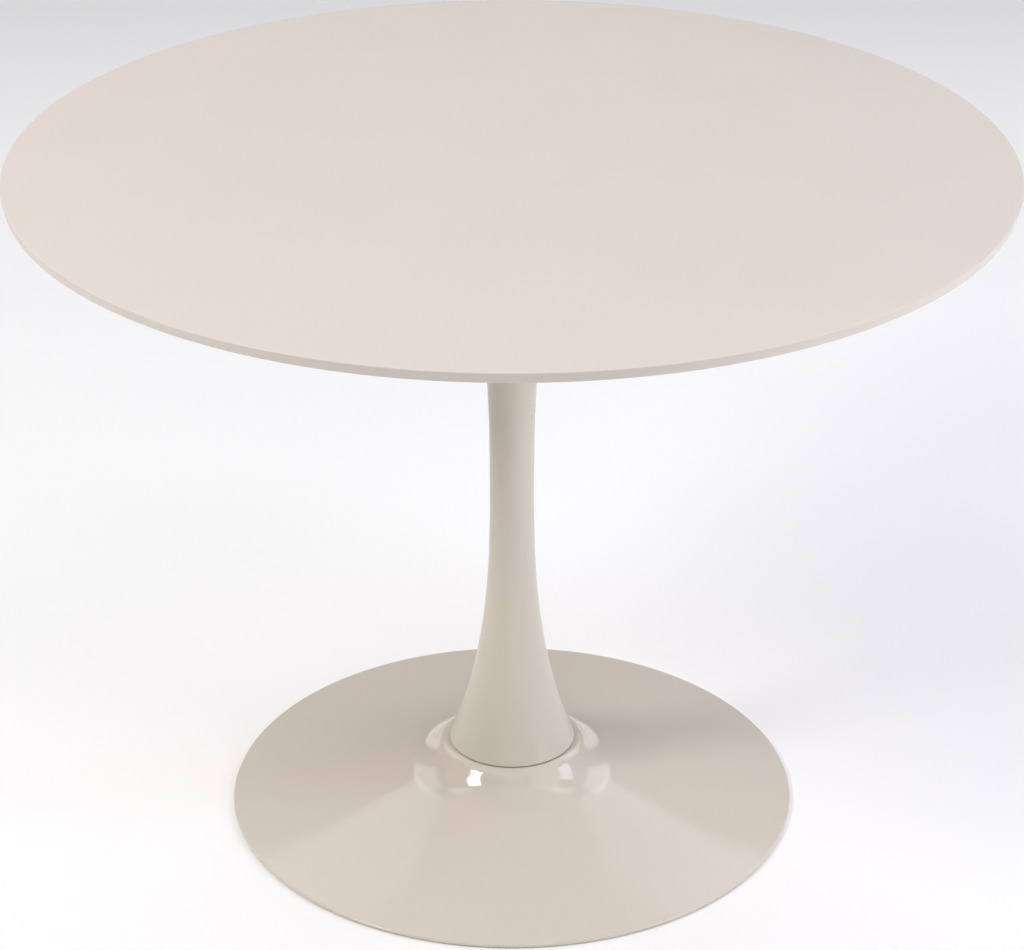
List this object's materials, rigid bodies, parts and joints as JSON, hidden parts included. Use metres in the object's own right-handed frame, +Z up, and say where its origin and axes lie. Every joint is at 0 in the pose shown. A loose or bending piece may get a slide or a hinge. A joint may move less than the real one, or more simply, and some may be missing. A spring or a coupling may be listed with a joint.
{
  "type": "round pedestal table",
  "caption": "Round pedestal dining table: lacquered board top with an undercut edge, on a slim flared column and a wide, low domed foot.",
  "frame": {"origin": "on the floor, under the middle of the table", "axes": "+Z up along the column; +X to the right and +Y away from a person who sits at the front"},
  "size_m": [1.03, 1.03, 0.75],
  "materials": {
    "board_lacquer": "fibreboard with a satin cream-white lacquer",
    "column_lacquer": "steel with a semi-gloss cream-white lacquer",
    "base_lacquer": "steel with a high-gloss cream-white lacquer",
    "plate_paint": "black powder coat",
    "zinc_steel": "bright zinc plating",
    "raw_steel": "bare mild steel, lightly oiled",
    "insert_brass": "turned brass",
    "cast_iron": "sand-cast, black primer",
    "seal_rubber": "matt",
    "pad_felt": "pressed wool felt"
  },
  "bodies": {
    "root": {"tabletop": "board_lacquer", "threaded_insert_1": "insert_brass", "threaded_insert_2": "insert_brass", "threaded_insert_3": "insert_brass", "threaded_insert_4": "insert_brass", "threaded_insert_5": "insert_brass", "threaded_insert_6": "insert_brass", "threaded_insert_7": "insert_brass", "threaded_insert_8": "insert_brass", "mounting_plate": "plate_paint", "rod_socket": "raw_steel", "top_screw_1": "zinc_steel", "top_screw_2": "zinc_steel", "top_screw_3": "zinc_steel", "top_screw_4": "zinc_steel", "top_screw_5": "zinc_steel", "top_screw_6": "zinc_steel", "top_screw_7": "zinc_steel", "top_screw_8": "zinc_steel", "column_shell": "column_lacquer", "column_head_ring": "raw_steel", "column_foot_ring": "raw_steel", "column_seal": "seal_rubber", "base_shell": "base_lacquer", "neck_plate": "raw_steel", "rod_washer": "zinc_steel", "rod_spring_washer": "zinc_steel", "rod_nut": "zinc_steel", "rod_jam_nut": "zinc_steel", "tie_rod": "zinc_steel", "ballast_ring": "cast_iron", "weld_stud_1": "raw_steel", "weld_stud_2": "raw_steel", "weld_stud_3": "raw_steel", "weld_stud_4": "raw_steel", "ballast_washer_1": "zinc_steel", "ballast_washer_2": "zinc_steel", "ballast_washer_3": "zinc_steel", "ballast_washer_4": "zinc_steel", "ballast_nut_1": "zinc_steel", "ballast_nut_2": "zinc_steel", "ballast_nut_3": "zinc_steel", "ballast_nut_4": "zinc_steel", "floor_pad_1": "pad_felt", "floor_pad_2": "pad_felt", "floor_pad_3": "pad_felt", "floor_pad_4": "pad_felt", "floor_pad_5": "pad_felt", "floor_pad_6": "pad_felt", "floor_pad_7": "pad_felt", "floor_pad_8": "pad_felt"}
  },
  "joints": []
}
